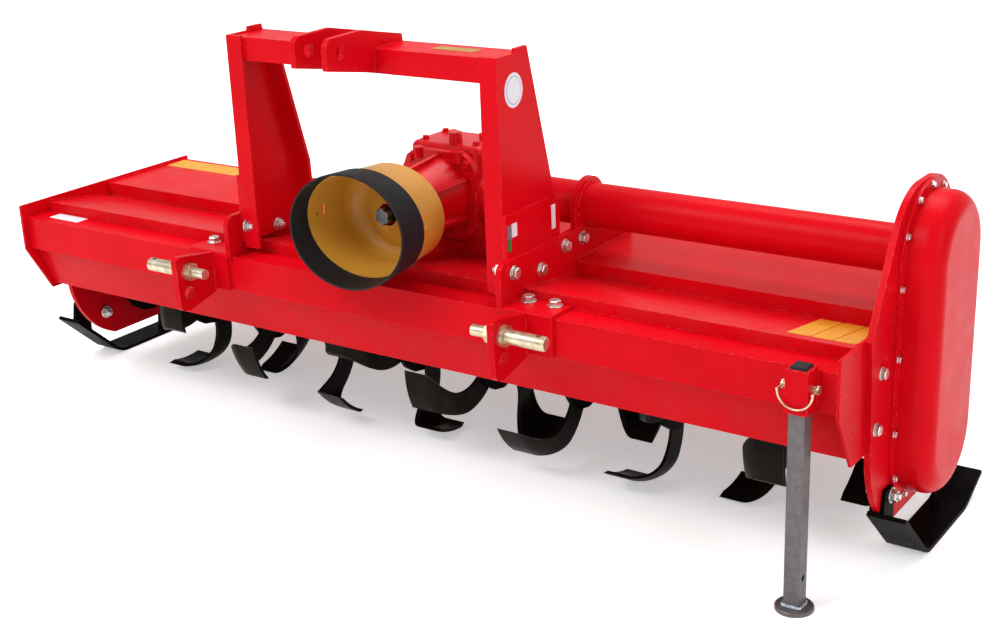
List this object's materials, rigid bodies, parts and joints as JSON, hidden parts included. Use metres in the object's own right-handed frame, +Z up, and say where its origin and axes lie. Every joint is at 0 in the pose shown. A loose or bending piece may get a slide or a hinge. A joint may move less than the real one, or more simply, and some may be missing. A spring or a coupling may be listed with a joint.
{
  "type": "rotary tiller",
  "caption": "Tractor-mounted rotary tiller: blade rotor under a folded hood, side drive case, three-point hitch tower, shielded input shaft, skids, parking leg and hinged rear board.",
  "frame": {"origin": "on the ground under the middle of the machine's footprint", "axes": "+X along the rotor towards the drive case, +Y to the rear, +Z up; the tractor is on the -Y side"},
  "size_m": [2.274, 0.776, 0.959],
  "materials": {
    "hood_red": "gloss",
    "apron_red": "gloss",
    "beam_red": "gloss",
    "end_red": "gloss",
    "side_red": "gloss",
    "case_red": "gloss",
    "tube_red": "gloss",
    "bearing_red": "gloss",
    "bracket_red": "gloss",
    "tower_red": "gloss",
    "hitch_red": "gloss",
    "plated_pins": "satin",
    "gearbox_red": "gloss",
    "guard_ochre": "semi-gloss",
    "guard_black": "satin",
    "shaft_steel": "oiled",
    "leg_zinc": "galvanised",
    "cap_black": "satin",
    "leg_pin_zinc": "plated",
    "skid_black": "satin",
    "rotor_black": "satin",
    "blade_black": "satin",
    "board_red": "gloss"
  },
  "bodies": {
    "frame": {"hood_panel": "hood_red", "front_apron": "apron_red", "front_beam": "beam_red", "end_plate_left": "end_red", "end_plate_right": "end_red", "side_plate_left": "side_red", "side_plate_right": "side_red", "drive_case_cover": "case_red", "drive_tube": "tube_red", "rotor_bearing_left": "bearing_red", "rotor_bearing_right": "bearing_red", "main_bracket_left": "bracket_red", "main_bracket_right": "bracket_red", "tower_doubler_left": "bracket_red", "tower_doubler_right": "bracket_red", "tower_left": "tower_red", "tower_right": "tower_red", "tower_crossbar": "tower_red", "top_link_clevis": "tower_red", "hitch_strap_left": "hitch_red", "hitch_strap_right": "hitch_red", "hitch_plate_left": "hitch_red", "hitch_plate_right": "hitch_red", "hitch_pin_left": "plated_pins", "hitch_pin_right": "plated_pins", "gearbox_housing": "gearbox_red", "gearbox_neck": "gearbox_red", "gearbox_plugs": "gearbox_red", "guard_bowl": "guard_ochre", "guard_sleeve": "guard_black", "leg_socket": "beam_red", "leg_pin": "leg_pin_zinc", "skid_left": "skid_black", "skid_right": "skid_black", "skid_lugs_left": "skid_black", "skid_lugs_right": "skid_black", "skid_link_left": "skid_black", "skid_link_right": "skid_black", "board_hinge": "board_red"},
    "rotor": {"rotor_tube": "rotor_black", "rotor_stubs": "rotor_black", "blades_left_hand": "blade_black", "blades_right_hand": "blade_black"},
    "input": {"pto_shaft": "shaft_steel"},
    "leg": {"parking_leg": "leg_zinc", "leg_foot": "leg_zinc", "leg_cap": "cap_black"},
    "board": {"rear_board": "board_red"}
  },
  "joints": [
    {"name": "rotor_spin", "type": "hinge", "parent": "frame", "child": "rotor", "pos_m": [0, 0.0495, 0.216], "axis": [1, 0, 0], "continuous": true},
    {"name": "pto_spin", "type": "hinge", "parent": "frame", "child": "input", "pos_m": [0.043, -0.1055, 0.578], "axis": [0, 1, 0], "continuous": true},
    {"name": "leg_slide", "type": "slide", "parent": "frame", "child": "leg", "axis": [0, 0, 1], "range_m": [0, 0.36]},
    {"name": "rear_board_hinge", "type": "hinge", "parent": "frame", "child": "board", "pos_m": [0, 0.2815, 0.44], "axis": [1, 0, 0], "range_deg": [0, 55]}
  ],
  "couplings": [
    {"joint": "pto_spin", "follows": "rotor_spin", "ratio": -2.45}
  ]
}
